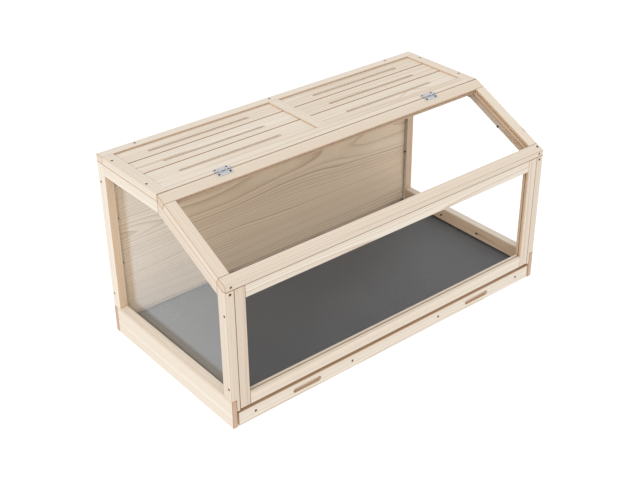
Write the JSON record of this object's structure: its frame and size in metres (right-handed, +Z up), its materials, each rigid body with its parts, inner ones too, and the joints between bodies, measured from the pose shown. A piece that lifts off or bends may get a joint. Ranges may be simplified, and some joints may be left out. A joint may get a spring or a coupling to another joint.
{
  "type": "cold frame",
  "caption": "Low timber cold frame with a flat slatted roof, a sloping glazed lid on butt hinges, clear front and side windows and a slide-out floor tray.",
  "frame": {"origin": "on the ground, below the middle of the frame", "axes": "+Z up, the front window and tray face -Y, the long side runs along X"},
  "size_m": [1, 0.508, 0.5058],
  "materials": {
    "fir": "planed, unfinished softwood",
    "plywood": "rotary-cut softwood plywood, unfinished",
    "acrylic": "clear acrylic sheet",
    "zinc_steel": "zinc-plated steel",
    "screw_steel": "black phosphated steel",
    "liner": "dark grey satin sheet"
  },
  "bodies": {
    "house": {"roof_rear_rail": "fir", "roof_front_rail": "fir", "roof_left_rail": "fir", "roof_right_rail": "fir", "roof_mid_rail": "fir", "roof_slat_left_front": "fir", "roof_slat_left_mid": "fir", "roof_slat_left_rear": "fir", "roof_slat_right_front": "fir", "roof_slat_right_mid": "fir", "roof_slat_right_rear": "fir", "rear_post_left": "fir", "rear_post_right": "fir", "front_post_left": "fir", "front_post_right": "fir", "side_top_rail_left": "fir", "side_top_rail_right": "fir", "side_slope_rail_left": "fir", "side_slope_rail_right": "fir", "side_sill_left": "fir", "side_sill_right": "fir", "side_pane_left": "acrylic", "side_pane_right": "acrylic", "base_board_left": "fir", "base_board_right": "fir", "base_board_rear": "fir", "back_board": "plywood", "window_stile_left": "fir", "window_stile_right": "fir", "window_top_rail": "fir", "window_bottom_rail": "fir", "window_pane": "acrylic", "tray_runner_left": "fir", "tray_runner_right": "fir", "roof_hinge_leaf_left": "zinc_steel", "roof_hinge_leaf_right": "zinc_steel", "hinge_pins": "zinc_steel", "roof_screws": "screw_steel", "post_screws": "screw_steel", "pane_screws": "screw_steel", "base_screws": "screw_steel", "roof_hinge_screws": "screw_steel"},
    "lid": {"lid_top_rail": "fir", "lid_bottom_rail": "fir", "lid_left_rail": "fir", "lid_right_rail": "fir", "lid_pane": "acrylic", "lid_hinge_leaf_left": "zinc_steel", "lid_hinge_leaf_right": "zinc_steel", "lid_screws": "screw_steel", "lid_hinge_screws": "screw_steel"},
    "tray": {"tray_front": "fir", "tray_deck": "plywood", "floor_liner": "liner", "tray_batten_left_outer": "fir", "tray_batten_left_inner": "fir", "tray_batten_right_inner": "fir", "tray_batten_right_outer": "fir", "tray_screws": "screw_steel"}
  },
  "joints": [
    {"name": "lid_hinge", "type": "hinge", "parent": "house", "child": "lid", "pos_m": [0, -0.0086, 0.50317], "axis": [-1, 0, 0], "range_deg": [0, 205]},
    {"name": "tray_slide", "type": "slide", "parent": "house", "child": "tray", "axis": [0, -1, 0], "range_m": [0, 0.4]}
  ]
}
